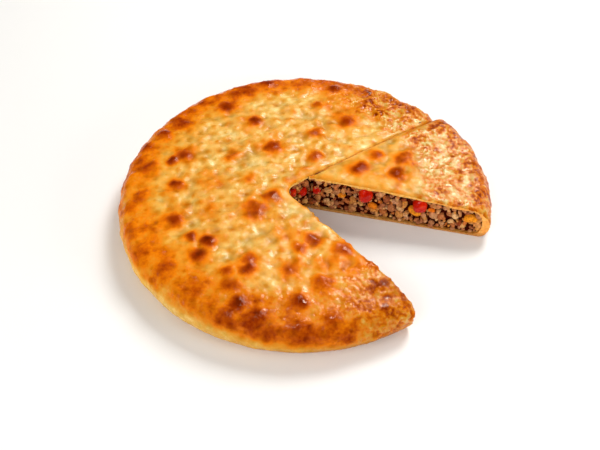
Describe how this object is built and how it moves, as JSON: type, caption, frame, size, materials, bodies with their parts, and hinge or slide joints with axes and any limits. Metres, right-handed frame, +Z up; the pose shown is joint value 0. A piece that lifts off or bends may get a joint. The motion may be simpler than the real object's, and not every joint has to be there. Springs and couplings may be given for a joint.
{
  "type": "meat pie",
  "caption": "Flat round meat pie with a browned, blistered crust, cut: a wedge is gone and the slice beside it is drawn out, showing minced filling with red pepper.",
  "frame": {"origin": "middle of the pie's outline on the surface it stands on, the drawn-out slice included", "axes": "+Z up through the lid, +X towards the side with the slice and the gap, +Y away from the viewer of the picture"},
  "size_m": [0.3092, 0.3008, 0.0399],
  "materials": {
    "crust": "satin",
    "filling": "satin",
    "pepper": "gloss"
  },
  "bodies": {
    "root": {"crust_body": "crust", "filling_body": "filling", "pepper_body_1": "pepper", "pepper_body_2": "pepper", "pepper_body_3": "pepper", "pepper_body_4": "pepper", "pepper_body_5": "pepper", "crust_slice": "crust", "filling_slice": "filling", "pepper_slice_1": "pepper", "pepper_slice_2": "pepper", "pepper_slice_3": "pepper"}
  },
  "joints": []
}
